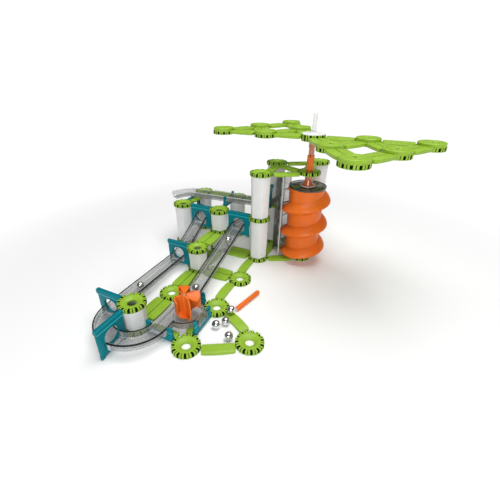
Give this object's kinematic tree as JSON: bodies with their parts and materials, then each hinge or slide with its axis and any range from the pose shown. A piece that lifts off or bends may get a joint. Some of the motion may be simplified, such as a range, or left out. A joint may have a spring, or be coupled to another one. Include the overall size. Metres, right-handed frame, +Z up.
{
  "type": "marble run",
  "caption": "Magnetic construction marble run: ring-and-bar base and tower, white columns, teal gate plates, clear ball channels, screw lift turned by a triangular rotor, paddle wheel.",
  "frame": {"origin": "centre of the overall bounding box at floor level", "axes": "+Z up; +Y along the long lanes, from the front bends towards the screw tower; +X towards the screw tower's side"},
  "size_m": [0.4867, 0.5376, 0.271],
  "materials": {
    "lime_plastic": "satin moulded lime-green plastic",
    "white_plastic": "satin moulded white plastic",
    "teal_plastic": "satin moulded teal plastic",
    "clear_plastic": "clear grey-tinted moulded plastic, polished",
    "orange_plastic": "satin moulded orange plastic",
    "smoke_plastic": "smoky dark translucent plastic",
    "steel": "polished bearing steel"
  },
  "bodies": {
    "frame": {"base_front_triangle": "lime_plastic", "base_link_frame": "lime_plastic", "base_spine_frame": "lime_plastic", "tower_base_frame": "lime_plastic", "tower_top_frame": "lime_plastic", "low_level_frame": "lime_plastic", "rear_level_frame": "lime_plastic", "front_column_ring": "lime_plastic", "centre_column_ring": "lime_plastic", "tower_front_ring": "lime_plastic", "tower_side_ring": "lime_plastic", "front_column": "white_plastic", "left_middle_column": "white_plastic", "centre_lower_column": "white_plastic", "centre_upper_column": "white_plastic", "left_rear_column": "white_plastic", "rear_corner_column": "white_plastic", "rear_inner_column": "white_plastic", "tower_front_lower_column": "white_plastic", "tower_front_upper_column": "white_plastic", "tower_back_lower_column": "white_plastic", "tower_back_upper_column": "white_plastic", "tower_side_lower_column": "white_plastic", "tower_side_upper_column": "white_plastic", "left_front_plate": "teal_plastic", "front_plate": "teal_plastic", "left_middle_plate": "teal_plastic", "left_rear_plate": "teal_plastic", "right_rear_plate": "teal_plastic", "rear_side_plate": "teal_plastic", "tower_exit_plate": "teal_plastic", "upper_lane_saddle": "teal_plastic", "junction_left_saddle": "teal_plastic", "junction_right_saddle": "teal_plastic", "junction_back_saddle": "teal_plastic", "upper_lane_rail": "clear_plastic", "end_bend_rail": "clear_plastic", "return_bend_rail": "clear_plastic", "tower_bend_rail": "clear_plastic", "left_lane_upper_rail": "clear_plastic", "left_lane_lower_rail": "clear_plastic", "front_left_bend_rail": "clear_plastic", "front_right_bend_rail": "clear_plastic", "right_lane_rail": "clear_plastic", "junction_tray": "clear_plastic", "ball_guide": "clear_plastic"},
    "lift": {"rotor": "lime_plastic", "shaft_sleeve": "orange_plastic", "drive_shaft": "clear_plastic", "screw_cap": "smoke_plastic", "lift_screw": "orange_plastic"},
    "paddle": {"paddle_wheel": "orange_plastic"},
    "wand": {"magnet_wand": "orange_plastic", "wand_ball": "steel"},
    "moving_floor_ball_1": {"floor_ball_1": "steel"},
    "moving_floor_ball_2": {"floor_ball_2": "steel"},
    "moving_floor_ball_3": {"floor_ball_3": "steel"},
    "moving_left_lane_ball": {"left_lane_ball": "steel"},
    "moving_right_lane_ball_1": {"right_lane_ball_1": "steel"},
    "moving_right_lane_ball_2": {"right_lane_ball_2": "steel"}
  },
  "joints": [
    {"name": "lift_screw_turn", "type": "hinge", "parent": "frame", "child": "lift", "pos_m": [0.04975, 0.09672, 0.08], "axis": [0, 0, 1], "continuous": true},
    {"name": "paddle_wheel_turn", "type": "hinge", "parent": "frame", "child": "paddle", "pos_m": [-0.05323, -0.16128, 0.03], "axis": [0, 0, 1], "continuous": true},
    {"name": "wand_lift_off", "type": "slide", "parent": "frame", "child": "wand", "axis": [0, 0, 1], "range_m": [0, 0.12]},
    {"name": "floor_ball_1_roll", "type": "slide", "parent": "frame", "child": "moving_floor_ball_1", "axis": [0, 1, 0], "range_m": [-0.02, 0.002]},
    {"name": "floor_ball_2_roll", "type": "slide", "parent": "frame", "child": "moving_floor_ball_2", "axis": [0.866, -0.5, 0], "range_m": [-0.008, 0.016]},
    {"name": "floor_ball_3_roll", "type": "slide", "parent": "frame", "child": "moving_floor_ball_3", "axis": [0.866, 0.5, 0], "range_m": [-0.012, 0.002]},
    {"name": "left_lane_ball_roll", "type": "slide", "parent": "frame", "child": "moving_left_lane_ball", "axis": [0, 1, 0], "range_m": [-0.045, 0.09]},
    {"name": "right_lane_ball_1_roll", "type": "slide", "parent": "frame", "child": "moving_right_lane_ball_1", "axis": [0, 0.9621, 0.2728], "range_m": [-0.05, 0.035]},
    {"name": "right_lane_ball_2_roll", "type": "slide", "parent": "frame", "child": "moving_right_lane_ball_2", "axis": [0, 0.9621, 0.2728], "range_m": [-0.002, 0.046]}
  ]
}
